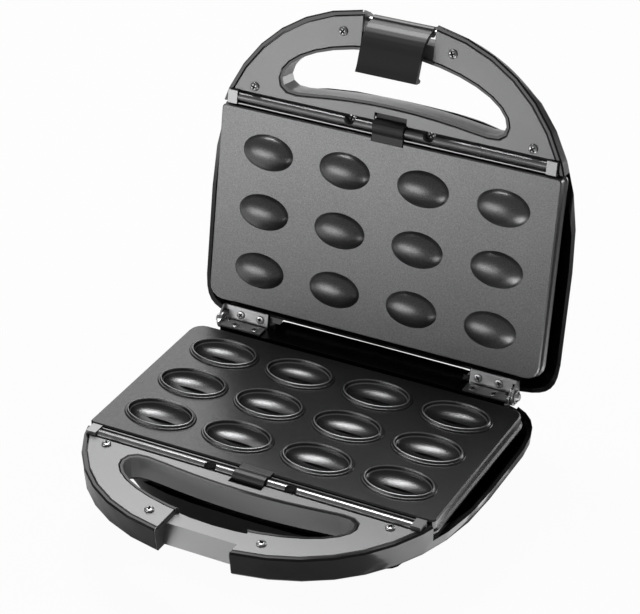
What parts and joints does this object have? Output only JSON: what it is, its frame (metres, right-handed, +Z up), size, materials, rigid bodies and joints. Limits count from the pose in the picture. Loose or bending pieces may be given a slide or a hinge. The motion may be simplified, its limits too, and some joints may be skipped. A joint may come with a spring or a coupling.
{
  "type": "moulded sweet maker with hinged lid",
  "caption": "Countertop cooker with a hinged lid, loop handles and a latch; domed upper plate closes on a lower plate of oval seamed cups.",
  "frame": {"origin": "middle of the bounding box with the lid open, at the level of the feet", "axes": "+X to the user's right, +Y from the handle to the hinge, +Z up"},
  "size_m": [0.2488, 0.296, 0.2709],
  "materials": {
    "shell": "glossy moulded",
    "cover": "satin",
    "rail": "glossy",
    "slide": "matte",
    "latch": "glossy",
    "plate": "dark non-stick coating",
    "hinge": "stamped and plated",
    "screw": "plated",
    "pan": "bright",
    "heater": "dull",
    "rubber": "matte",
    "lamp_red": "clear",
    "lamp_green": "clear"
  },
  "bodies": {
    "base": {"base_shell": "shell", "base_handle_cover": "cover", "lower_plate_rail": "rail", "lower_plate": "plate", "lower_reflector": "pan", "lower_heating_element": "heater", "thermostat": "heater", "cord_gland": "rubber", "foot_rear_left": "rubber", "foot_rear_right": "rubber", "foot_front_left": "rubber", "foot_front_right": "rubber", "base_hinge_leaf_left": "hinge", "base_hinge_leaf_right": "hinge", "hinge_pin_left": "hinge", "hinge_pin_right": "hinge", "base_cover_screw_1": "screw", "base_cover_screw_2": "screw", "base_cover_screw_3": "screw", "base_cover_screw_4": "screw", "base_rail_screw_1": "screw", "base_rail_screw_2": "screw", "base_hinge_screw_1": "screw", "base_hinge_screw_2": "screw", "base_hinge_screw_3": "screw", "base_hinge_screw_4": "screw"},
    "lid": {"lid_shell": "shell", "lid_handle_cover": "cover", "upper_plate_rail": "rail", "upper_plate": "plate", "upper_reflector": "pan", "upper_heating_element": "heater", "power_lens": "lamp_red", "ready_lens": "lamp_green", "lid_hinge_leaf_left": "hinge", "lid_hinge_leaf_right": "hinge", "latch_pin": "screw", "lid_cover_screw_1": "screw", "lid_cover_screw_2": "screw", "lid_cover_screw_3": "screw", "lid_cover_screw_4": "screw", "lid_rail_screw_1": "screw", "lid_rail_screw_2": "screw", "lid_hinge_screw_1": "screw", "lid_hinge_screw_2": "screw", "lid_hinge_screw_3": "screw", "lid_hinge_screw_4": "screw"},
    "latch": {"latch_clip": "latch"},
    "lower_release": {"lower_plate_release": "slide"},
    "upper_release": {"upper_plate_release": "slide"}
  },
  "joints": [
    {"name": "lid_hinge", "type": "hinge", "parent": "base", "child": "lid", "pos_m": [0, 0.07027, 0.0573], "axis": [1, 0, 0], "range_deg": [0, 100.25]},
    {"name": "latch_swing", "type": "hinge", "parent": "lid", "child": "latch", "pos_m": [0, 0.12044, 0.26336], "axis": [1, 0, 0], "range_deg": [-75, 0]},
    {"name": "lower_release_slide", "type": "slide", "parent": "base", "child": "lower_release", "axis": [0, -1, 0], "range_m": [0, 0.0034], "stiffness_N_per_m": 300, "springref_m": -0.001},
    {"name": "upper_release_slide", "type": "slide", "parent": "lid", "child": "upper_release", "axis": [0, 0.1779, 0.984], "range_m": [0, 0.0034], "stiffness_N_per_m": 300, "springref_m": -0.001}
  ]
}
